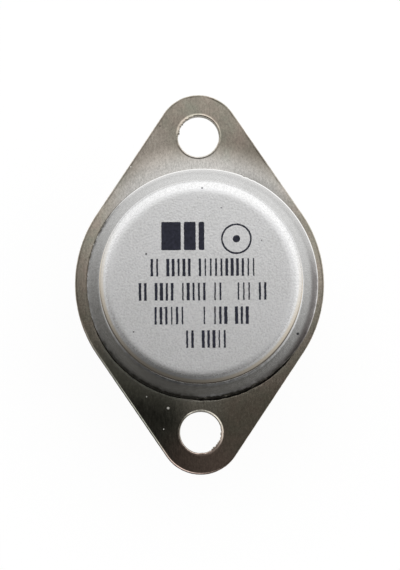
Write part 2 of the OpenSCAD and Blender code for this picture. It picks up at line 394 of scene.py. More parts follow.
def stamped_rows(burr_w):
    """Profile of a stamped edge from top to bottom, as (inset, drop from the top, tear, lift).
    The punch tears the upper part and leaves a burr on it, and rolls over the lower edge."""
    rows = [(EDGE_FLAT + burr_w, 0, 0, 0)]
    for s in BURR_SHARES:
        rows.append((burr_w * s, 0, 0, ease(s, 1, 0.5) * ease(s, -0.1, 0.45)))
    rows.append((0.006, 0.012, 0.8, 0.2))
    rows += [(TEAR_DEPTH, share * HEADER_T, 1, 0) for share in TORN_SHARES]
    rows += [(0, share * HEADER_T, 0, 0) for share in CUT_SHARES]
    rows += [(ROLL_R - r, HEADER_T - ROLL_R + z, 0, 0) for r, z in arc(0, 0, ROLL_R, 0, 90, 6)]
    rows.append((ROLL_R + EDGE_FLAT, HEADER_T, 0, 0))
    return rows


def stamped_edge(skin, stations, burr, burr_w):
    """Adds the wall along stations and gives its top and bottom loops of point indices.
    burr(x, y) is how far the lip is torn back there, and how high its burr stands."""

    def place(row, station):
        inset, drop, tear, lift = row
        point, out = station
        rough = tear * TEAR_ROUGH * ripple(point.x, point.y, drop * 2.5, 0.28)
        torn, raised = burr(point.x, point.y)
        x, y = point - (inset + max(0, rough) + torn * (lift + tear)) * out
        z = header_height(x, y) * (1 - drop / HEADER_T) + lift * BURR_H * raised
        edge = 1.0 if 0.01 < drop < HEADER_T - 0.01 else 0.0
        return x, y, max(0, min(z, HEADER_T)), edge

    return skin.wall(stamped_rows(burr_w), stations, place)


def fill_face(skin, loops, height, spacing):
    """Fills the flat face between an outer loop and its round holes, with points spread inside it."""
    index = [i for loop in loops for i in loop]
    flat = [Vector(skin.verts[i][:2]) for i in index]
    rim = KDTree(len(flat))
    for i, point in enumerate(flat):
        rim.insert((*point, 0), i)
    rim.balance()
    lines, start = [], 0
    for loop in loops:
        count = len(loop)
        lines += [(start + k, start + (k + 1) % count) for k in range(count)]
        start += count
    holes = [loop_circle(skin, loop) for loop in loops[1:]]
    outer = [Vector(skin.verts[i][:2]) for i in loops[0]]
    for x, y in grid_points(spacing):
        point = Vector((x, y))
        clear = rim.find((x, y, 0))[2] > spacing * 0.6
        if clear and in_ring(point, outer) and not in_holes(point, holes):
            flat.append(point)
            index.append(skin.add(x, y, height(x, y)))
    made, _, triangles, source, _, _ = delaunay_2d_cdt(flat, lines, [], 1, 1e-7)
    for triangle in triangles:
        middle = sum((made[i] for i in triangle), Vector((0, 0))) / 3
        if not in_holes(middle, holes):
            skin.faces.append([index[source[i][0]] for i in triangle])


def loop_circle(skin, loop):
    """Centre and radius of a round loop of points."""
    points = [Vector(skin.verts[i][:2]) for i in loop]
    centre = sum(points, Vector((0, 0))) / len(points)
    return centre, min((p - centre).length for p in points)


def in_holes(point, holes):
    """Whether a point lies in any of the holes [(centre, radius), ...]."""
    return any((point - centre).length < radius for centre, radius in holes)


def in_ring(point, ring):
    """Whether a point lies inside a closed loop of points."""
    inside = False
    for a, b in zip(ring, ring[1:] + ring[:1]):
        if (a.y > point.y) != (b.y > point.y):
            inside ^= point.x < (b.x - a.x) * (point.y - a.y) / (b.y - a.y) + a.x
    return inside


def grid_points(spacing):
    """Staggered, slightly uneven points over the header."""
    points = []
    high = HOLE_Y + LOBE_R
    uneven = 0.05
    for j in range(int(2 * high / spacing) + 1):
        for i in range(int(2 * MID_R / spacing) + 1):
            x = -MID_R + (i + 0.5 * (j % 2)) * spacing
            y = -high + j * spacing
            points.append((x + uneven * math.sin(7 * y), y + uneven * math.cos(9 * x)))
    return points


def punch_burr(x, y):
    """The lip of a mounting hole's mouth, which is ragged on one side of each hole."""
    end = 1 if y > 0 else -1
    degrees = math.degrees(math.atan2(y - end * HOLE_Y, x))
    near = max(0, math.cos(math.radians(degrees - RAGGED_AT[end]) / 2)) ** 8
    fine = abs(ripple(x, y, 2.0, 0.25)) + 0.6 * abs(ripple(x, y, 5.0, 0.12))
    raised = 0.5 + 0.3 * ripple(x, y, 6.0, 0.6) + 2.0 * near * fine
    if end < 0:
        raised += 1.8 * toward(degrees, RAISED_AT)
    return 0.012 * fine - RAGGED_DEPTH * near * fine, raised


def plain_edge(x, y):
    """The outline's lip, which is even apart from small dents, and higher at the lower left."""
    low = ease(y, 4, -12) * ease(x, 4, -4)
    return 0.02 * abs(ripple(x, y, 4.0, 0.5)), 0.08 + 1.1 * low + 0.2 * ripple(x, y, 7.0, 1.2)


def groove(degrees):
    """How fully the groove at the brim's edge is formed, where the weld spat out metal. It is also painted
    dark, with scorch and painted shade.
    """
    thick = sector(degrees, GROOVE_RIGHT) + 0.55 * sector(degrees, GROOVE_LEFT)
    thin = 0.015 + 0.06 * sector(degrees, GROOVE_FAR_LEFT) + 0.13 * sector(degrees, GROOVE_UPPER)
    return thick * (0.8 + 0.4 * ripple(*spoke(degrees, BRIM_R), 4.0, 0.6)) + thin


def in_groove(degrees, reach):
    """1 in the middle of the groove and 0 outside it, at a distance outside the brim."""
    deep = groove(degrees)
    width = 0.02 + 0.13 * deep
    jag = 0.07 * deep * ripple(*spoke(degrees, BRIM_R), 9.0, 0.25)
    return ease(reach + jag, width + 0.07, width * 0.2) * ease(reach, -0.45, -0.3)


def scorch_and_shade(point):
    """How dark a point is painted, with the weld's scorch and with painted shade: in the groove, beside
    it, on the brim's edge and at the foot of the cap's wall.
    """
    degrees, r = round_cap(point)
    if point[2] < HEADER_T + 0.005:
        return plate_scorch_and_shade(degrees, r - BRIM_R)
    if point[2] > HEADER_T + 2:
        return 0.0
    return brim_scorch_and_shade(degrees, r - BRIM_R)


def plate_scorch_and_shade(degrees, reach):
    """How dark the header is at a distance outside the brim."""
    low_left = sector(degrees, SMOKE_AND_SHADE_LEFT)
    deep = groove(degrees)
    smoke = (0.45 + 0.1 * low_left) * ease(reach, SMOKE_AND_SHADE_REACH, 0.0) * min(1, deep + low_left)
    # the groove is painted dark as its shade, and beside it lie smoke and painted shade
    return min(1.0, in_groove(degrees, reach) * deep * 1.6 + smoke)


def brim_scorch_and_shade(degrees, reach):
    """How dark the brim is, where reach is below 0 inside its edge."""
    inside = reach + bite(degrees)
    edge = layer(inside, EDGE_SMOKE_AND_SHADE) * sector(degrees, SMOKE_AND_SHADE_EDGE)
    left = layer(inside, LEFT_SOOT_AND_SHADE) * sector(degrees, SMOKE_AND_SHADE_LEFT)
    right = layer(inside, RIGHT_SOOT_AND_SHADE) * sector(degrees, SMOKE_AND_SHADE_RIGHT)
    # painted shade at the foot of the wall
    bend = layer(reach, PAINTED_BEND_SHADE) * sector(degrees, BEND_SHADE_SECTOR)
    return min(1.0, edge + max(left, right) + bend)


def seam_loops(skin):
    """Adds the finely meshed seam round the brim, and gives its outer and inner loops."""

    def place(reach, degrees):
        dx, dy = spoke(degrees, BRIM_R + reach)
        x, y = CAP_X + dx, CAP_Y + dy
        spat = 0.02 * ease(reach, 0.5, 0.2) * abs(ripple(*spoke(degrees, 11), reach, 0.3))
        cut = GROOVE_DEPTH * in_groove(degrees, reach) + spat
        return x, y, min(header_height(x, y) - cut * groove(degrees), HEADER_T)

    turns = [360 * k / CAP_STEPS for k in range(CAP_STEPS)]
    return skin.wall((SEAM_OUT, *SEAM_ROWS, -SEAM_IN), turns, place)


def seal_hole(skin, x):
    """Adds the wall of a hole for a glass seal, and gives its top and bottom loops."""

    def place(drop, station):
        point = station[0]
        return *point, header_height(*point) * (1 - drop)

    return skin.wall((0, 0.5, 1), hole_stations(x, LEAD_Y, SEAL_R, LEAD_STEPS), place)


def make_header():
    """The stamped plate, with its holes, its torn edges and the seam round the cap's brim."""
    skin = Skin()
    walls = [stamped_edge(skin, outline_stations(), plain_edge, EDGE_BURR_W)]
    for y in (HOLE_Y, -HOLE_Y):
        mouth = hole_stations(0, y, HOLE_R, HOLE_STEPS)
        walls.append(stamped_edge(skin, mouth, punch_burr, HOLE_BURR_W))
    seals = [seal_hole(skin, side * LEAD_X) for side in (-1, 1)]
    seam_out, seam_in = seam_loops(skin)
    fill_face(skin, [w[0] for w in walls] + [seam_out], header_height, FACE_SPACING)
    fill_face(skin, [seam_in] + [s[0] for s in seals], header_height, COVERED_SPACING)
    fill_face(skin, [w[1] for w in walls + seals], lambda x, y: 0, SEAT_SPACING)
    marks = {"edge": skin.edge, "scorch_and_shade": [scorch_and_shade(v) for v in skin.verts]}
    return mesh_object("header_plate", skin.verts, skin.faces, SHARP_SHEET, **marks)


# ---- Cap ----


def cap_profile():
    """Closed section of the drawn cap from the middle of its top, round the brim and back inside."""
    top = CAP_TOP - INK_T
    foot_z = BRIM_LOW + SHEET_T
    bend_r = FOOT_R + SHEET_T
    wall_z = foot_z + FOOT_R
    outer = [(r, z - sag(r)) for r, z in [(r, top) for r in TOP_RADII] + shoulder_profile(top)]
    outer += [(SHOULDER_OUT, top - 2), (WALL_R, wall_z + 1), (WALL_R, wall_z + 0.2)]
    outer += arc(BEND_R, wall_z, FOOT_R, 180, 270, 8)
    outer += brim_profile(foot_z)
    outer += [(BRIM_R, BRIM_LOW + 0.05), (BRIM_R - 0.04, BRIM_LOW)]
    weld_out, weld_in = WELD_R + WELD_W / 2, WELD_R - WELD_W / 2
    weld = [(weld_out, BRIM_LOW), (weld_out, HEADER_T - WELD_SINK)]
    weld += [(weld_in, HEADER_T - WELD_SINK), (weld_in, BRIM_LOW)]
    inner = arc(BEND_R, BRIM_LOW + bend_r, bend_r, 270, 180, 8)
    inner += [(WALL_R - SHEET_T, BRIM_LOW + 3)]
    inner += arc(WALL_R - SHOULDER_R, top - SHOULDER_R, SHOULDER_R - SHEET_T, 0, 90, 6)
    inner += [(4, top - SHEET_T), (0, top - SHEET_T)]
    return outer + weld + inner


def sag(r):
    """How far the drawn top, which is very slightly domed, lies below its middle."""
    return r * r / (2 * DOME_R)


def shoulder_profile(top):
    """The drawn shoulder, from the top down to the wall: three arcs, each with a smaller radius."""
    points, r, z = [], 0.0, 0.0
    turned = 0.0
    for radius, turn_to, steps in SHOULDER_ARCS:
        start, end = math.radians(turned), math.radians(turn_to)
        for k in range(1, steps + 1):
            a = start + (end - start) * k / steps
            out = radius * (math.sin(a) - math.sin(start))
            fall = radius * (math.cos(start) - math.cos(a))
            points.append((r + out, z - fall))
        r, z = points[-1]
        turned = turn_to
    return [(SHOULDER_OUT - r, top)] + [(SHOULDER_OUT - r + x, top + drop) for x, drop in points]


def brim_profile(foot_z):
    """Top of the brim, which falls a little towards its rounded edge."""
    end = BRIM_R - BRIM_EDGE_R
    points = [(BEND_R + (end - BEND_R) * s, foot_z - BRIM_FALL * s) for s in (0.2, 0.4, 0.6, 0.8)]
    return points + arc(end, foot_z - BRIM_FALL - BRIM_EDGE_R, BRIM_EDGE_R, 90, 0, 6)


def chip_depth(degrees):
    """How far the brim's edge is eaten away by the weld, mostly on its lower right."""
    x, y = spoke(degrees, 11.6)
    torn = max(0, 0.45 + ripple(x, y, 1.0, 0.5) + 0.6 * ripple(x, y, 6.0, 0.17))
    nick = sum(share * math.exp(-((degrees - at) / width) ** 2) for at, width, share in NICKS)
    dents = 0.015 * abs(ripple(x, y, 2.0, 0.7))
    return dents + 0.11 * sector(degrees, TORN_SECTOR) * torn + NICK_DEPTH * nick


def bite(degrees):
    """How far the brim's edge stays back on the lower right, where the weld burnt it."""
    return BITE * sector(degrees, BITE_SECTOR)


def cap_shift(r, z, degrees):
    """How the drawn cap departs from its profile at a point, as a change of (radius, height)."""
    grown = 0
    if BRIM_LOW - 0.001 <= z <= BRIM_LOW + SHEET_T + FOOT_R:
        near_edge = ease(r, BRIM_R - 0.35, BRIM_R - 0.02)
        skew = BRIM_SKEW * math.cos(math.radians(degrees - SKEW_AT))
        grown = near_edge * (BRIM_GROWTH + skew - bite(degrees) - chip_depth(degrees))
    fall = 0.004 * abs(ripple(*spoke(degrees, r), 9.0, 3.0))
    if r > BEND_R and z > BRIM_LOW + 0.1:
        fall += BRIM_DROOP * toward(degrees, DROOP_AT) * (r - BEND_R) / (BRIM_R - BEND_R)
    return grown, -fall


def make_cap():
    """The drawn cap with its brim and the weld ring under it."""
    profile = cap_profile()

    def shift(row, angle):
        return cap_shift(*profile[row], math.degrees(angle))

    verts, faces = turn(profile, CAP_STEPS, (CAP_X, CAP_Y), shift)
    marks = {
        "edge": [brim_wear_and_highlight(v) for v in verts],
        "scorch_and_shade": [scorch_and_shade(v) for v in verts],
        "shoulder_tint_and_shade": [shoulder_tint_and_shade(v) for v in verts],
    }
    return mesh_object("cap_shell", verts, faces, SHARP_SHEET, **marks)


def shoulder_tint_and_shade(point):
    """Where a tan tint and brown painted shade lie: low on the shoulder, on one side."""
    degrees, r = round_cap(point)
    away = abs((degrees - SHOULDER_SHADE_AT + 180) % 360 - 180)
    side = ease(away, *SHOULDER_SHADE_SPREAD) * ease(CAP_TOP - point[2], *SHOULDER_SHADE_DROP)
    tan, brown = [ease(r, *radii) for radii in SHOULDER_SHADE_RADII]
    return side * (0.5 * tan + 0.5 * brown)


def brim_wear_and_highlight(point):
    """How bright the pressed edge of the brim is: a little wear all round, and a painted highlight that is
    most at the upper right.
    """
    degrees, r = round_cap(point)
    if point[2] > HEADER_T + 1 or r < BRIM_R - bite(degrees) - BRIM_EDGE_R:
        return 0.0
    return 0.15 + 0.85 * max(ease(degrees, *HIGHLIGHT_TO), ease(degrees, *HIGHLIGHT_FROM))


# ---- Leads and seals ----


def make_lead(name, x):
    """A lead dipped in tin, which is a little uneven and rounds its tip."""
    head_r, head_t, taper = 1.05, 0.35, 0.3
    tip_r, tin_end, tin_rows = 0.26, -0.95, 30
    top, tip = LEAD_HIGH.z, LEAD_LOW.z
    head_z, tin_start = top - head_t, tip + 0.3
    profile = [(0, tip)] + arc(LEAD_R - tip_r, tip + tip_r, tip_r, 270, 360, 6)
    profile += [(LEAD_R, tin_start + (tin_end - tin_start) * k / tin_rows) for k in range(tin_rows + 1)]
    profile += [(LEAD_R - 0.008, tin_end + 0.2), (CORE_R + 0.008, -0.45), (CORE_R, -0.3)]
    profile += [(CORE_R, 0.6), (CORE_R, head_z - taper), (head_r - 0.03, head_z)]
    profile += [(head_r, head_z + 0.04), (head_r, top - 0.04), (head_r - 0.04, top), (0, top)]

    def shift(row, angle):
        z = profile[row][1]
        if z > tin_end + 0.1:
            return 0, 0
        thick = ripple(math.cos(angle) + x, math.sin(angle), z, 2.2)
        return -0.012 * abs(thick) - 0.004 * abs(ripple(x, angle, z, 0.5)), 0

    return turned(name, profile, LEAD_STEPS, (x, LEAD_Y), SHARP_TURNED, shift)


def make_seal(name, x):
    """A glass bead that wets the lead and the header, with a hollow between them."""
    low, high, dip = 0.08, HEADER_T - 0.08, 0.14
    half, rows = (SEAL_R - CORE_R) / 2, 14
    shares = [2 * k / rows - 1 for k in range(rows + 1)]
    hollow = [(CORE_R + half * (s + 1), dip * (1 - s * s)) for s in shares]
    profile = [(r, high - d) for r, d in hollow] + [(r, low + d) for r, d in reversed(hollow)]
    return turned(name, profile, LEAD_STEPS, (x, LEAD_Y), SHARP_TURNED)


# ---- Node helpers ----

SOCKETS = {int: "NodeSocketInt", float: "NodeSocketFloat", tuple: "NodeSocketVector"}


def node(tree, kind, inputs=None, **settings):
    """Adds a node, sets its properties, and fills its inputs with values or links."""
    made = tree.nodes.new(kind)
    for name, value in settings.items():
        setattr(made, name, value)
    for name, value in (inputs or {}).items():
        if isinstance(value, bpy.types.NodeSocket):
            tree.links.new(value, made.inputs[name])
        else:
            made.inputs[name].default_value = value
    return made


def math_node(tree, operation, a, b=0.0, clamp=False):
    """One step of arithmetic, which gives its output socket."""
    return node(tree, "ShaderNodeMath", {0: a, 1: b}, operation=operation, use_clamp=clamp).outputs[0]


def product(tree, a, b, clamp=False):
    """Two values multiplied."""
    return math_node(tree, "MULTIPLY", a, b, clamp)


def vector_node(tree, operation, a, b=None):
    """One step of vector arithmetic, which gives its output sockets. SCALE takes a number as b."""
    key = "Scale" if operation == "SCALE" else 1
    inputs = {0: a} if b is None else {0: a, key: b}
    return node(tree, "ShaderNodeVectorMath", inputs, operation=operation).outputs


def combine(tree, x, y=0.0, z=0.0):
    """A vector made of three numbers."""
    return node(tree, "ShaderNodeCombineXYZ", {"X": x, "Y": y, "Z": z}).outputs[0]


def remap(tree, value, start, end, low, high, smooth=False):
    """Carries a value from start and end over to low and high, and keeps it between them."""
    return node(tree, "ShaderNodeMapRange", {
        "Value": value, "From Min": start, "From Max": end, "To Min": low, "To Max": high,
    }, interpolation_type="SMOOTHSTEP" if smooth else "LINEAR").outputs[0]


def noise_node(tree, place, scale, detail, roughness=0.5):
    """Noise at a place, which gives its output sockets."""
    return node(tree, "ShaderNodeTexNoise", {
        "Vector": place, "Scale": scale, "Detail": detail, "Roughness": roughness}).outputs


def new_group(name, kind, inputs, output, output_kind="NodeSocketFloat"):
    """A node group with named inputs, each with its usual value, and one output.
    Gives the tree and the sockets that bring the inputs in."""
    tree = bpy.data.node_groups.new(name, kind)
    for key, value in inputs.items():
        made = tree.interface.new_socket(name=key, in_out="INPUT", socket_type=SOCKETS[type(value)])
        made.default_value = value
    tree.interface.new_socket(name=output, in_out="OUTPUT", socket_type=output_kind)
    return tree, node(tree, "NodeGroupInput").outputs


# ---- Stamped marks ----

INK_LOW = CAP_TOP - INK_T - INK_SINK
INK_Z = CAP_TOP - INK_T / 2
# Each row of bars: where its middle lies on the cap, its length and its seed
MARK_ROWS = [
    (0.35, 1.32, 10.2, 4),
    (-1.85, -1.03, 8.5, 9),
    (5.10, -1.03, 3.1, 13),
    (-2.95, -3.35, 3.1, 21),
    (2.55, -3.35, 4.9, 33),
    (0.35, -5.64, 4.9, 40),
]
ROW_PITCH = 0.52
# What a row of bars is given, in metres. Narrow and Wide are its least and greatest stroke
BAR_INPUTS = {
    "Bars": 10, "Pitch": ROW_PITCH * MM, "Height": 1.7 * MM, "Narrow": 0.13 * MM, "Wide": 0.32 * MM,
    "Filled": 0.82, "Thickness": INK_T * MM, "Place": (0.0, 0.0, 0.0), "Seed": 1,
}
# The three blocks: left edge and width of each
BLOCK_SPANS = [(-3.65, 1.9), (-1.45, 1.15), (-0.02, 0.55)]
BLOCK_Y = (3.0, 5.75)
BLOCK_CORNER_R = 0.12
BLOCK_STEP = 0.12
RING_PLACE = (3.65, 4.07)
RING_R = 1.4
RING_STROKE = 0.17
RING_STEPS = 120
DOT_R = 0.36
INK_UNEVEN = 0.03       # how far the edges of blocks and ring stray


def bar_row_tree(material):
    """A row of upright bars at an even pitch. Chance leaves some out and sets the widths."""
    tree, given = new_group("bar_row", "GeometryNodeTree", BAR_INPUTS, "Geometry", "NodeSocketGeometry")
    steps = math_node(tree, "SUBTRACT", given["Bars"], 1.0)
    half = product(tree, product(tree, steps, given["Pitch"]), -0.5)
    line = node(tree, "GeometryNodeMeshLine", {
        "Count": given["Bars"], "Start Location": combine(tree, half),
        "Offset": combine(tree, given["Pitch"]),
    })
    chance = random_value(tree, 0.0, 1.0, given["Seed"])
    kept = math_node(tree, "LESS_THAN", chance, given["Filled"])
    other_seed = math_node(tree, "ADD", given["Seed"], 100.0)
    width = random_value(tree, given["Narrow"], given["Wide"], other_seed)
    bar = node(tree, "GeometryNodeMeshCube", {
        "Size": combine(tree, 1.0, given["Height"], given["Thickness"]),
        "Vertices X": 3, "Vertices Y": 15, "Vertices Z": 2,
    })
    copies = node(tree, "GeometryNodeInstanceOnPoints", {
        "Points": line.outputs["Mesh"], "Selection": kept, "Instance": bar.outputs["Mesh"],
        "Scale": combine(tree, width, 1.0, 1.0),
    })
    real = node(tree, "GeometryNodeRealizeInstances", {"Geometry": copies.outputs[0]})
    moved = node(tree, "GeometryNodeTransform", {
        "Geometry": real.outputs[0], "Translation": given["Place"]})
    uneven = node(tree, "GeometryNodeSetPosition", {
        "Geometry": moved.outputs[0], "Offset": rough_edge_offset(tree, given["Wide"])})
    finish = node(tree, "GeometryNodeSetMaterial", {"Geometry": uneven.outputs[0], "Material": material})
    node(tree, "NodeGroupOutput", {"Geometry": finish.outputs[0]})
    return tree


def random_value(tree, low, high, seed):
    """A random number for each point."""
    return node(tree, "FunctionNodeRandomValue", {2: low, 3: high, "Seed": seed}).outputs[1]


def rough_edge_offset(tree, side):
    """A level offset that makes the edge of stamped ink a little uneven."""
    place = node(tree, "GeometryNodeInputPosition").outputs[0]
    cloud = noise_node(tree, place, 3800.0, 2.0)["Color"]
    centred = vector_node(tree, "SUBTRACT", cloud, (0.5, 0.5, 0.5))[0]
    level = vector_node(tree, "MULTIPLY", centred, (1.0, 1.0, 0.0))[0]
    return vector_node(tree, "SCALE", level, product(tree, side, 0.35))[0]


def run_tree(name, tree, values):
    """Runs a geometry tree with its named inputs, and gives the result as a plain mesh object."""
    carrier = add_object(name + "_carrier", bpy.data.meshes.new(name + "_carrier"))
    modifier = carrier.modifiers.new("build", "NODES")
    modifier.node_group = tree
    ids = {s.name: s.identifier for s in tree.interface.items_tree if s.in_out == "INPUT"}
    for key, value in values.items():
        modifier[ids[key]] = value
    graph = bpy.context.evaluated_depsgraph_get()
    mesh = bpy.data.meshes.new_from_object(carrier.evaluated_get(graph), depsgraph=graph)
    carrier.modifiers.remove(modifier)
    bpy.data.objects.remove(carrier)
    return add_object(name, mesh)


def plate(outline, name):
    """A thin plate of ink with the given outline [(x, y), ...]."""
    count = len(outline)
    low = [(x, y, INK_LOW) for x, y in outline]
    high = [(x, y, CAP_TOP) for x, y in outline]
    faces = [list(range(count - 1, -1, -1)), list(range(count, 2 * count))]
    faces += [(k, (k + 1) % count, count + (k + 1) % count, count + k) for k in range(count)]
    return mesh_object(name, low + high, faces, SHARP_INK)


def block_outline(left, width):
    """An upright block with rounded corners and slightly uneven edges."""
    low, high = BLOCK_Y
    r, right = BLOCK_CORNER_R, left + width
    corners = [(right - r, high - r), (left + r, high - r), (left + r, low + r), (right - r, low + r)]
    points = []
    for i, (x, y) in enumerate(corners):
        points += arc(x, y, r, 90 * i, 90 * i + 90, 5)
    fine = []
    for (x0, y0), (x1, y1) in zip(points, points[1:] + points[:1]):
        steps = max(1, int(math.hypot(x1 - x0, y1 - y0) / BLOCK_STEP))
        fine += [(x0 + (x1 - x0) * k / steps, y0 + (y1 - y0) * k / steps) for k in range(steps)]
    return [(x + INK_UNEVEN * ripple(x, y, 1.0, 0.25), y + INK_UNEVEN * ripple(x, y, 5.0, 0.25))
            for x, y in fine]


def make_ring():
    """A plain stamped ring."""
    small, large = RING_R - RING_STROKE / 2, RING_R + RING_STROKE / 2
    profile = [(small, INK_LOW), (large, INK_LOW), (large, CAP_TOP), (small, CAP_TOP)]

    def shift(row, angle):
        x, y = 3 * math.cos(angle), 3 * math.sin(angle)
        return INK_UNEVEN * ripple(x, y, row % 3 + 2.0, 0.4), 0

    return turned("ring", profile, RING_STEPS, RING_PLACE, SHARP_INK, shift)


def dot_outline():
    """A stamped dot that is not quite round."""
    outline = []
    for x, y in arc(0, 0, 1, 0, 350, 35):
        r = DOT_R * (1 + 0.08 * ripple(x, y, 3.0, 0.8))
        outline.append((RING_PLACE[0] + r * x, RING_PLACE[1] + r * y))
    return outline


def make_marks(material):
    """All the stamped ink on the cap as one piece: three blocks, a ring with a dot, and rows of bars."""
    tree = bar_row_tree(material)
    pieces = [plate(block_outline(left, width), "block") for left, width in BLOCK_SPANS]
    pieces += [make_ring(), plate(dot_outline(), "dot")]
    for x, y, length, seed in MARK_ROWS:
        place = (x * MM, y * MM, INK_Z * MM)
        row = {**BAR_INPUTS, "Bars": round(length / ROW_PITCH), "Place": place, "Seed": seed}
        pieces.append(run_tree(f"row_{seed}", tree, row))
    marks = join("cap_marks", pieces)
    for point in marks.data.vertices:
        point.co.z -= sag(round_cap(point.co / MM)[1]) * MM
    return marks


def join(name, pieces):
    """Joins plain mesh objects at the origin into one."""
    built = bmesh.new()
    for piece in pieces:
        built.from_mesh(piece.data)
        bpy.data.objects.remove(piece)
    mesh = bpy.data.meshes.new(name)
    finish_mesh(built, mesh, SHARP_INK)
    return add_object(name, mesh)


# ---- Shader groups ----


def shader_group(name, inputs):
    """Starts a shader group: its tree, the sockets of its inputs, and the place on the piece."""
    tree, given = new_group(name, "ShaderNodeTree", inputs, "Value")
    return tree, given, node(tree, "ShaderNodeTexCoord").outputs["Object"]


def end_group(tree, value):
    """Puts a value out of a shader group."""
    node(tree, "NodeGroupOutput", {"Value": value})
    return tree


def level_distance(tree, place, centre):
    """How far a place lies from an upright axis."""
    flat = vector_node(tree, "MULTIPLY", place, (1.0, 1.0, 0.0))[0]
    return vector_node(tree, "DISTANCE", flat, centre)["Value"]


def grain_group():
    """Uneven grain. Frequency is how many grains a metre holds along each axis."""
    tree, given, place = shader_group("grain", {"Frequency": (1000.0, 1000.0, 1000.0), "Detail": 3.0})
    sized = vector_node(tree, "MULTIPLY", place, given["Frequency"])[0]
    return end_group(tree, noise_node(tree, sized, 1.0, given["Detail"], 0.6)["Fac"])


def ring_group():
    """1 near an upright axis and 0 away from it, between two distances in metres."""
    tree, given, place = shader_group("round_an_axis", {
        "Centre": (CAP_X * MM, CAP_Y * MM, 0.0), "Full": 0.0116, "None": 0.0146})
    away = level_distance(tree, place, given["Centre"])
    return end_group(tree, remap(tree, away, given["Full"], given["None"], 1.0, 0.0, smooth=True))


def spot_group():
    """A ragged spot at a place, whatever its height. Radius is in metres."""
    tree, given, place = shader_group("spot", {"Centre": (0.0, 0.0, 0.0), "Radius": 0.0002})
    away = level_distance(tree, place, given["Centre"])
    cloud = math_node(tree, "ADD", noise_node(tree, place, 4500.0, 1.0)["Fac"], 0.5)
    ragged = product(tree, given["Radius"], cloud)
    return end_group(tree, remap(tree, away, product(tree, ragged, 0.5), ragged, 1.0, 0.0, smooth=True))


def marked_group(name, attribute, frequency, lift):
    """Where the mesh marks an effect, broken up by noise. lift is the least that the noise leaves."""
    tree, given, place = shader_group(name, {"Frequency": frequency, "Amount": 1.0})
    marked = node(tree, "ShaderNodeAttribute", attribute_name=attribute).outputs["Fac"]
    cloud = noise_node(tree, place, given["Frequency"], 2.0)["Fac"]
    broken = product(tree, math_node(tree, "ADD", cloud, lift), given["Amount"])
    return end_group(tree, product(tree, marked, broken, clamp=True))


GROUPS = {
    "grain": grain_group(), "ring": ring_group(), "spot": spot_group(),
    "edge_marked": marked_group("marked_edge", "edge", 1500.0, 0.0),
    "scorched_and_shaded": marked_group("scorched_and_shaded", "scorch_and_shade", 2600.0, 0.1),
}


def effect(tree, name, **values):
    """Places a shared effect in a material with its own values, and gives its output socket."""
    made = tree.nodes.new("ShaderNodeGroup")
    made.node_tree = GROUPS[name]
    for key, value in values.items():
        made.inputs[key.title()].default_value = value
    return made.outputs[0]


def grain(tree, frequency, detail=3.0):
    """Grain of one frequency, or of one along each axis."""
    along = frequency if isinstance(frequency, tuple) else (frequency, frequency, frequency)
    return effect(tree, "grain", frequency=along, detail=detail)


def ring(tree, full, none, centre=(CAP_X, CAP_Y)):
    """1 up to one distance from an upright axis and 0 from another on, in millimetres."""
    return effect(tree, "ring", centre=(centre[0] * MM, centre[1] * MM, 0.0), full=full * MM,
                  none=none * MM)


# ---- Material helpers ----


def finish(name, build, metallic=1.0, **plain):
    """A material with one Principled BSDF, whose plain sockets are set here.
    build(tree) gives its colour, roughness and height, and the bump's strength and step in mm."""
    material = bpy.data.materials.new(name)
    material.use_nodes = True
    tree = material.node_tree
    shader = tree.nodes["Principled BSDF"]
    shader.inputs["Metallic"].default_value = metallic
    for key, value in plain.items():
        shader.inputs[key.replace("_", " ").title().replace("Ior", "IOR")].default_value = value
    colour, roughness, height, strength, step = build(tree)
    raised = node(tree, "ShaderNodeBump", {"Height": height, "Strength": strength, "Distance": step * MM})
    tree.links.new(colour, shader.inputs["Base Color"])
    tree.links.new(roughness, shader.inputs["Roughness"])
    tree.links.new(raised.outputs[0], shader.inputs["Normal"])
    return material


def opaque(colour):
    """A written colour with its alpha, or a linked one as it is."""
    return (*colour, 1.0) if isinstance(colour, tuple) else colour


def blend_colour(tree, mask, first, second):
    """A colour that goes from first to second with a mask."""
    made = node(tree, "ShaderNodeMix", {0: mask, 6: opaque(first), 7: opaque(second)}, data_type="RGBA")
    return made.outputs[2]


def layered(tree, colour, *layers):
    """Lays colours over one another, each where its mask is 1. layers are (mask, colour)."""
    for mask, over in layers:
        colour = blend_colour(tree, mask, colour, over)
    return colour


def weighted(tree, total, *parts):
    """Adds masks to a value, each times its weight. parts are (mask, weight)."""
    for mask, weight in parts:
        total = math_node(tree, "ADD", total, product(tree, mask, weight))
    return total


def shade(tree, colour, amount):
    """A colour made darker or lighter by a varying amount."""
    return vector_node(tree, "SCALE", colour, amount)[0]


def spread(tree, value, low, high):
    """Spreads a 0 to 1 value, whose middle half counts most, over low to high."""
    return remap(tree, value, 0.3, 0.7, low, high)


def each_spot(tree, spots, value):
    """A small ragged spot at each place, paired with the same colour or weight."""
    return [(effect(tree, "spot", centre=(x * MM, y * MM, 0.0), radius=radius * MM), value)
            for x, y, radius in spots]


# ---- Materials ----

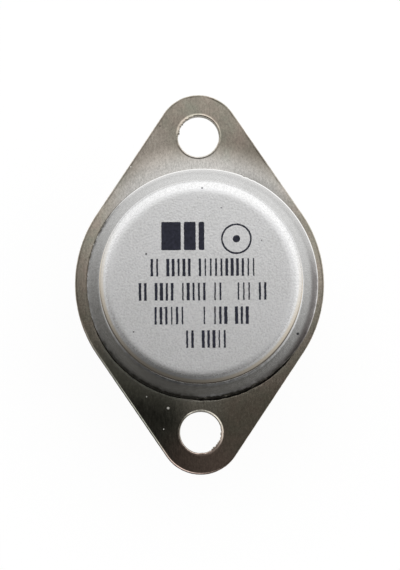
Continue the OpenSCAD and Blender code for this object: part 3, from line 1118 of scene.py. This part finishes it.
# The header's nickel, and the round tints on it, most of them painted highlights and shade: full up to,
# gone from, centre and colour
NICKEL = ((0.71, 0.60, 0.51), (0.60, 0.58, 0.48))
HEADER_TINTS_AND_PAINTED_LIGHT = [
    (1.0, 3.6, (-5.0, 13.6), (0.88, 0.79, 0.69)),       # painted highlight, at the upper left
    (0.8, 3.0, (5.6, 12.4), (0.56, 0.50, 0.42)),        # painted shade, at the upper right
    (4.0, 10.0, (-7.0, -12.0), (0.42, 0.42, 0.36)),     # painted shade with an olive tint, at the lower left
    (2.0, 6.5, (0.0, -19.5), (0.74, 0.58, 0.51)),       # ruddy, at the lower end
    (0.5, 3.6, (0.0, -12.5), (0.84, 0.80, 0.70)),       # painted reflection, bright above the lower hole
]
WELD_HALO_HIGHLIGHT = (0.74, 0.725, 0.70)  # the pale halo beside the weld, painted above the cap only, as a highlight
# the torn steel of the stamped walls, darkened further as painted shade in them
SHEARED_STEEL_AND_SHADE = (0.27, 0.245, 0.20)
# soot and painted shade on the header, in the groove at the brim and beside it
HEADER_SOOT_AND_SHADE = (0.055, 0.051, 0.044)
# Small marks of handling on the header: place and radius of each
SCRATCHES = [
    (-3.27, -12.55, 0.17), (-3.74, -14.67, 0.09), (-5.45, -11.37, 0.09), (-10.69, 4.10, 0.10),
    (-6.9, 12.0, 0.09),
]
SCRATCH = (0.95, 0.93, 0.88)
STAINS = [(-3.90, 16.15, 0.10)]
STAIN = (0.20, 0.17, 0.14)

CAP_FACE = ((0.97, 0.97, 0.98), (0.93, 0.93, 0.93))
CAP_WALL = (0.81, 0.81, 0.81)
BRIM = (0.87, 0.87, 0.865)
BRIM_TINT = (0.27, 0.23, 0.23)  # darker tint towards the brim's edge, on the right
# painted highlight on the brim's edge, over a little wear
WEAR_AND_HIGHLIGHT_NICKEL = (0.94, 0.93, 0.92)
# a tan tint and brown painted shade, low on one side of the shoulder
SHOULDER_TAN_TINT = (0.80, 0.72, 0.60)
PAINTED_SHOULDER_SHADE = (0.09, 0.07, 0.05)
# soot and painted shade on the brim, and painted shade at the foot of the wall
CAP_SOOT_AND_SHADE = (0.10, 0.095, 0.085)
# Small dark marks on the cap: place and radius of each
CAP_STAINS = [
    (-5.13, 2.66, 0.13), (0.35, 9.04, 0.12), (9.87, -5.13, 0.17), (-3.4, -2.6, 0.09),
    (6.1, 3.9, 0.08), (-6.4, -4.9, 0.09), (2.2, 7.1, 0.08),
]
CAP_STAIN = (0.10, 0.10, 0.11)

SILICON = ((0.20, 0.22, 0.27), (0.26, 0.29, 0.35))
CONTACT = ((0.76, 0.77, 0.78), (0.86, 0.87, 0.88))
CONTACT_T = 0.02
GLASS = ((0.035, 0.055, 0.05), (0.07, 0.095, 0.085))
BUBBLE = (0.22, 0.26, 0.24)

# Finishes whose colour, roughness and height share one grain: two colours, lowest and highest
# roughness, the grain's frequency, and the bump's strength and step
FINISHES = {
    "stamped_ink": (
        (0.010, 0.011, 0.022), (0.035, 0.037, 0.06), (0.5, 0.75), (4000.0, 4000.0, 1000.0), 0.4, 0.004),
    "dipped_tin": (
        (0.66, 0.65, 0.62), (0.50, 0.49, 0.46), (0.16, 0.32), (900.0, 900.0, 350.0), 0.5, 0.02),
    "drawn_copper": (
        (0.78, 0.45, 0.30), (0.66, 0.36, 0.22), (0.25, 0.4), (900.0, 3000.0, 900.0), 0.5, 0.008),
    "silver_braze": (
        (0.80, 0.73, 0.55), (0.70, 0.62, 0.45), (0.3, 0.5), 1500.0, 0.5, 0.01),
    "soft_solder": (
        (0.58, 0.58, 0.60), (0.48, 0.48, 0.50), (0.35, 0.6), 1200.0, 0.5, 0.012),
    "drawn_aluminium": (
        (0.84, 0.85, 0.86), (0.74, 0.75, 0.77), (0.2, 0.35), (2500.0, 2500.0, 800.0), 0.5, 0.004),
    "cured_silicone": (
        (0.80, 0.80, 0.76), (0.88, 0.88, 0.85), (0.25, 0.4), 900.0, 0.4, 0.02),
}


def plain_finish(name, **plain):
    """One of the finishes that share one grain."""
    base, other, rough, frequency, strength, step = FINISHES[name]

    def build(tree):
        even = grain(tree, frequency)
        colour = blend_colour(tree, spread(tree, even, 0, 1), base, other)
        return colour, spread(tree, even, *rough), even, strength, step

    return finish(name, build, **plain)


def header_tints_and_painted_light(tree, weld):
    """The header's nickel with its slow changes of tint, round patches of painted highlight and shade, and
    a pale painted highlight above the cap, near the weld.
    """
    tarnish = grain(tree, 560.0, 4.0)
    colour = blend_colour(tree, spread(tree, tarnish, 0, 1), *NICKEL)
    for full, none, centre, tint in HEADER_TINTS_AND_PAINTED_LIGHT:
        colour = blend_colour(tree, ring(tree, full, none, centre), colour, tint)
    # painted highlight: the weld's pale halo, kept to the side above the cap
    upper = ring(tree, 7.0, 11.1, (CAP_X, CAP_Y + 8))
    pale = product(tree, product(tree, weld, upper), 0.9)
    return blend_colour(tree, pale, colour, WELD_HALO_HIGHLIGHT)


def satin_nickel(tree):
    """Satin nickel on a stamped steel plate: warm, with upright brush grain and fine speckle."""
    streaks = grain(tree, (7000.0, 1300.0, 3000.0))
    speckle = grain(tree, (6200.0, 4200.0, 5200.0))
    weld = ring(tree, 11.8, 14.8)
    # sheared steel on the stamped walls, darkened partly as painted shade
    sheared_and_shaded = effect(tree, "edge_marked", frequency=3600.0, amount=2.6)
    # weld soot and painted shade
    burnt_and_shaded = effect(tree, "scorched_and_shaded", amount=1.8)
    streaked = shade(tree, header_tints_and_painted_light(tree, weld), spread(tree, streaks, 0.93, 1.07))
    grained = shade(tree, streaked, spread(tree, speckle, 0.80, 1.20))
    spotted = layered(tree, grained, *each_spot(tree, SCRATCHES, SCRATCH), *each_spot(tree, STAINS, STAIN))
    colour = layered(tree, spotted, (sheared_and_shaded, SHEARED_STEEL_AND_SHADE), (burnt_and_shaded, HEADER_SOOT_AND_SHADE))
    rough = weighted(tree, spread(tree, streaks, 0.08, 0.12), (weld, 0.05), (sheared_and_shaded, 0.33),
                     *each_spot(tree, SCRATCHES, 0.35), (burnt_and_shaded, 0.4))
    height = weighted(tree, speckle, (streaks, 0.45))
    torn = weighted(tree, 1.0, (sheared_and_shaded, 1.8))
    return colour, rough, product(tree, height, torn), 0.06, 0.010


def cap_colours(tree, sand, top, inner):
    """The nickel of the cap's face and wall, and of the brim, which is tinted on its right."""
    cloud = grain(tree, 300.0, 2.0)
    face = blend_colour(tree, spread(tree, cloud, 0, 1), *CAP_FACE)
    plain = blend_colour(tree, top, CAP_WALL, face)
    grained = shade(tree, plain, spread(tree, sand, 0.90, 1.12))
    before_edge = ring(tree, 10.85, 11.7)
    right_part = ring(tree, 6.0, 9.5, (CAP_X + 8, CAP_Y - 5))
    tint = product(tree, math_node(tree, "SUBTRACT", 1.0, before_edge), right_part)
    brim = shade(tree, BRIM, spread(tree, sand, 0.93, 1.05))
    tinted = blend_colour(tree, tint, brim, BRIM_TINT)
    return blend_colour(tree, inner, tinted, grained)


def matte_nickel(tree):
    """Matte nickel on drawn steel. The top has a fine sandy grain, and the brim, which the welding
    rings pressed smooth, is tinted darker towards its edge, on the right."""
    sand = grain(tree, 5400.0, 2.0)
    top = ring(tree, 8.8, 9.4)
    inner = ring(tree, 10.05, 10.4)
    # on the brim's edge: a little wear and a painted highlight
    edge_marked = effect(tree, "edge_marked", amount=1.2)
    # weld soot and painted shade
    burnt_and_shaded = effect(tree, "scorched_and_shaded", amount=2.2)
    nickel = cap_colours(tree, sand, top, inner)
    spotted = layered(tree, nickel, *each_spot(tree, CAP_STAINS, CAP_STAIN))
    # painted shade on the shoulder: a tan tint where it starts, brown further out
    shoulder_shade = node(tree, "ShaderNodeAttribute", attribute_name="shoulder_tint_and_shade").outputs["Fac"]
    tan = product(tree, shoulder_shade, 2.0, clamp=True)
    brown = math_node(tree, "SUBTRACT", product(tree, shoulder_shade, 2.0), 1.0, clamp=True)
    colour = layered(tree, spotted, (edge_marked, WEAR_AND_HIGHLIGHT_NICKEL), (tan, SHOULDER_TAN_TINT), (brown, PAINTED_SHOULDER_SHADE),
                     (burnt_and_shaded, CAP_SOOT_AND_SHADE))
    rough = weighted(tree, spread(tree, sand, 0.13, 0.17), (inner, 0.06), (top, 0.18))
    depth = weighted(tree, 0.15, (inner, 0.24), (top, 0.8))
    return colour, rough, product(tree, sand, depth), 0.8, 0.016


def silicon(tree):
    """Blue-grey polished silicon, with pale contact metal above its top face."""
    even = grain(tree, 2500.0, 2.0)
    mix = spread(tree, even, 0, 1)
    place = node(tree, "ShaderNodeTexCoord").outputs["Object"]
    z = node(tree, "ShaderNodeSeparateXYZ", {0: place}).outputs["Z"]
    contact = math_node(tree, "GREATER_THAN", z, (DIE_TOP - CONTACT_T) * MM)
    dark = blend_colour(tree, mix, *SILICON)
    pale = blend_colour(tree, mix, *CONTACT)
    return blend_colour(tree, contact, dark, pale), spread(tree, even, 0.12, 0.3), even, 0.3, 0.003


def bubbles(tree, frequency, density, size):
    """Sparse round bubbles. Density is the share of cells that hold one, and size that of its cell."""
    place = node(tree, "ShaderNodeTexCoord").outputs["Object"]
    cells = node(tree, "ShaderNodeTexVoronoi", {"Vector": place, "Scale": frequency})
    chance = node(tree, "ShaderNodeSeparateColor", {"Color": cells.outputs["Color"]}).outputs
    kept = math_node(tree, "LESS_THAN", chance[0], density)
    reach = product(tree, chance[1], size)
    inside = remap(tree, cells.outputs["Distance"], reach, product(tree, reach, 0.5), 0.0, 1.0)
    return product(tree, inside, kept)


def fused_glass(tree):
    """Dark fused glass with a slight haze."""
    haze = grain(tree, 1500.0)
    deep = blend_colour(tree, spread(tree, haze, 0, 1), *GLASS)
    colour = blend_colour(tree, bubbles(tree, 3000.0, 0.2, 0.25), deep, BUBBLE)
    return colour, spread(tree, haze, 0.04, 0.14), haze, 0.3, 0.006


# ---- Studio ----


def floor_material():
    """White to every ray that shows the background, and it still takes the object's shadow."""
    material = bpy.data.materials.new("studio_floor")
    material.use_nodes = True
    tree = material.node_tree
    tree.nodes.clear()
    path = node(tree, "ShaderNodeLightPath").outputs
    seen = math_node(tree, "ADD", path["Is Camera Ray"], path["Is Glossy Ray"])
    seen = math_node(tree, "ADD", seen, path["Is Transmission Ray"], clamp=True)
    matte = node(tree, "ShaderNodeBsdfDiffuse", {"Color": grey(FLOOR_GREY)})
    dim = node(tree, "ShaderNodeBsdfDiffuse", {"Color": grey(FLOOR_MATTE)})
    glow = node(tree, "ShaderNodeEmission", {"Color": grey(1.0), "Strength": FLOOR_GLOW})
    white = node(tree, "ShaderNodeAddShader", {0: dim.outputs[0], 1: glow.outputs[0]})
    mixed = node(tree, "ShaderNodeMixShader", {0: seen, 1: matte.outputs[0], 2: white.outputs[0]})
    node(tree, "ShaderNodeOutputMaterial", {"Surface": mixed.outputs[0]})
    return material


def grey(level):
    """An opaque grey."""
    return (level, level, level, 1.0)


def make_floor():
    """A plain floor under the tips of the leads."""
    half, z = FLOOR_SIZE / 2, LEAD_LOW.z
    mesh = bpy.data.meshes.new("studio_floor")
    corners = [(-half, -half, z), (half, -half, z), (half, half, z), (-half, half, z)]
    mesh.from_pydata([Vector(c) * MM for c in corners], [], [(0, 1, 2, 3)])
    mesh.materials.append(floor_material())
    floor = add_object("studio_floor", mesh)


# The light tent. Its brightness goes by the side that a direction faces, about an opening
# overhead that is dark. Distances from the opening are sines of angles
OPENING = (-0.025, -0.06)
OPENING_SHAPE = (0.8, 1.0, 0.0)  # it is wider along X
BRIGHT_SIDE = (0.326, 0.946)    # the side that the light comes from
OPENING_SPAN = 0.45
OPENING_STOPS = [
    (0.0, 0.0), (0.24, 0.0), (0.37, 0.08), (0.44, 0.23), (0.51, 0.38), (0.56, 0.52), (0.66, 0.64),
    (0.93, 1.0),
]
DARK_AT = (-0.055, -0.065)      # the darkest part of the opening
DARK_SHAPE = (1.2, 0.6, 0.0)    # it is longer along Y
DARK_SPAN = 0.2
DARK_STOPS = [(0.0, 0.13), (0.18, 0.16), (0.30, 0.80), (0.5, 1.0)]
SIDE_STOPS = [
    (0.0, 0.11), (0.05, 0.17), (0.13, 0.28), (0.22, 0.42), (0.34, 0.60), (0.43, 0.72), (0.56, 0.88),
    (0.70, 1.0), (0.84, 1.07), (0.93, 1.13), (1.0, 1.20),
]
LOW_FALL = (0.05, 0.38, 0.5)    # between these heights the tent falls to this share of its light
DARK = (0.086, 0.082, 0.074)
HORIZON = (0.03, 0.13)          # the tent is white below this height
DARK_END = (-0.45, -0.2)        # but not towards -Y, where it stays dark down to the floor


def level_ramp(tree, value, stops):
    """A smooth run of grey levels along a 0 to 1 value."""
    made = node(tree, "ShaderNodeValToRGB", {0: value})
    ramp = made.color_ramp
    ramp.interpolation = "LINEAR"
    while len(ramp.elements) < len(stops):
        ramp.elements.new(0.5)
    for element, (position, level) in zip(ramp.elements, stops):
        element.position = position
        element.color = grey(level)
    return made.outputs[0]


def level_offset(tree, way, centre, shape):
    """How far a direction lies from a centre, seen from above: the stretched offset and its length."""
    moved = vector_node(tree, "SUBTRACT", way, (*centre, 0.0))[0]
    offset = vector_node(tree, "MULTIPLY", moved, shape)[0]
    return offset, vector_node(tree, "LENGTH", offset)["Value"]


def tent_colour(tree, way, height):
    """The tent's light above the horizon: it goes by the side, and is dark in the opening."""
    offset, reach = level_offset(tree, way, OPENING, OPENING_SHAPE)
    dark_reach = level_offset(tree, way, DARK_AT, DARK_SHAPE)[1]
    heading = vector_node(tree, "NORMALIZE", offset)[0]
    facing = vector_node(tree, "DOT_PRODUCT", heading, (*BRIGHT_SIDE, 0.0))["Value"]
    side = level_ramp(tree, weighted(tree, 0.5, (facing, 0.5)), SIDE_STOPS)
    share = math_node(tree, "DIVIDE", reach, OPENING_SPAN, clamp=True)
    dark_share = math_node(tree, "DIVIDE", dark_reach, DARK_SPAN, clamp=True)
    dark = blend_colour(tree, level_ramp(tree, dark_share, DARK_STOPS), (0.0, 0.0, 0.0), DARK)
    upper = blend_colour(tree, level_ramp(tree, share, OPENING_STOPS), dark, side)
    low, high, least = LOW_FALL
    return shade(tree, upper, remap(tree, height, low, high, least, 1.0))


def make_world():
    """A light tent: bright at the +Y side, dark overhead and at -Y, white towards the horizon."""
    world = bpy.data.worlds.new("light_tent")
    world.use_nodes = True
    bpy.context.scene.world = world
    tree = world.node_tree
    tree.nodes.clear()
    way = node(tree, "ShaderNodeTexCoord").outputs["Generated"]
    part = node(tree, "ShaderNodeSeparateXYZ", {0: way}).outputs
    horizon = remap(tree, part["Z"], *HORIZON, 1.0, 0.0, smooth=True)
    open_side = remap(tree, part["Y"], *DARK_END, 0.0, 1.0, smooth=True)
    white = product(tree, horizon, open_side)
    colour = blend_colour(tree, white, tent_colour(tree, way, part["Z"]), (1.0, 1.0, 1.0))
    light = node(tree, "ShaderNodeBackground", {"Color": colour, "Strength": 1.0})
    node(tree, "ShaderNodeOutputWorld", {"Surface": light.outputs[0]})


def make_camera():
    """A camera that looks down on the header, from a little below and right of its middle."""
    data = bpy.data.cameras.new("camera")
    data.lens = LENS
    data.sensor_width = 36.0
    data.sensor_fit = "AUTO"
    data.clip_start = 0.005
    data.clip_end = 20.0
    camera = add_object("camera", data)
    stand = Vector((*CAMERA_OVER, HEADER_T + CAMERA_HEIGHT))
    aim = Vector((*CAMERA_AIM, HEADER_T))
    forward = (aim - stand).normalized()
    right = forward.cross(Vector((0, 1, 0))).normalized()
    up = right.cross(forward)
    turned = Matrix((right, up, -forward)).transposed() @ Matrix.Rotation(CAMERA_ROLL, 3, "Z")
    camera.matrix_world = Matrix.Translation(stand * MM) @ turned.to_4x4()
    bpy.context.scene.camera = camera


# ---- Everything together ----


def dress_hidden_pieces():
    """Finishes for the sealed pieces, which keep their CAD shape."""
    wire = plain_finish("drawn_aluminium")
    finishes = {
        "heat_spreader": plain_finish("drawn_copper"),
        "spreader_braze": plain_finish("silver_braze"),
        "die_solder": plain_finish("soft_solder"),
        "die": finish("silicon_and_contact_metal", silicon, metallic=0.9),
        "chip_coat": plain_finish("cured_silicone", metallic=0.0, ior=1.41, coat_weight=0.3),
        "emitter_wire_1": wire, "emitter_wire_2": wire, "base_wire": wire,
    }
    for name, material in finishes.items():
        mesh = frame["nodes"][name].data
        mesh.materials.clear()
        mesh.materials.append(material)


def main():
    """Builds the studio and dresses every piece."""
    bpy.context.scene.view_settings.view_transform = "Standard"
    make_camera()
    make_world()
    make_floor()
    dress(make_header(), finish("header_satin_nickel", satin_nickel), "header_plate", "header")
    dress(make_cap(), finish("cap_matte_nickel", matte_nickel), "cap_shell", "cap")
    tin = plain_finish("dipped_tin")
    glass = finish("seal_glass", fused_glass, metallic=0.0, transmission_weight=0.35, ior=1.52)
    for name, x in (("emitter", -LEAD_X), ("base", LEAD_X)):
        dress(make_lead(f"{name}_lead_tinned", x), tin, "lead_tin", f"{name}_lead")
        dress(make_seal(f"{name}_seal_bead", x), glass, "seal_glass", f"{name}_seal")
    ink = plain_finish("stamped_ink", metallic=0.0, specular_ior_level=0.3)
    dress(make_marks(ink), ink, "cap_ink")
    dress_hidden_pieces()


main()
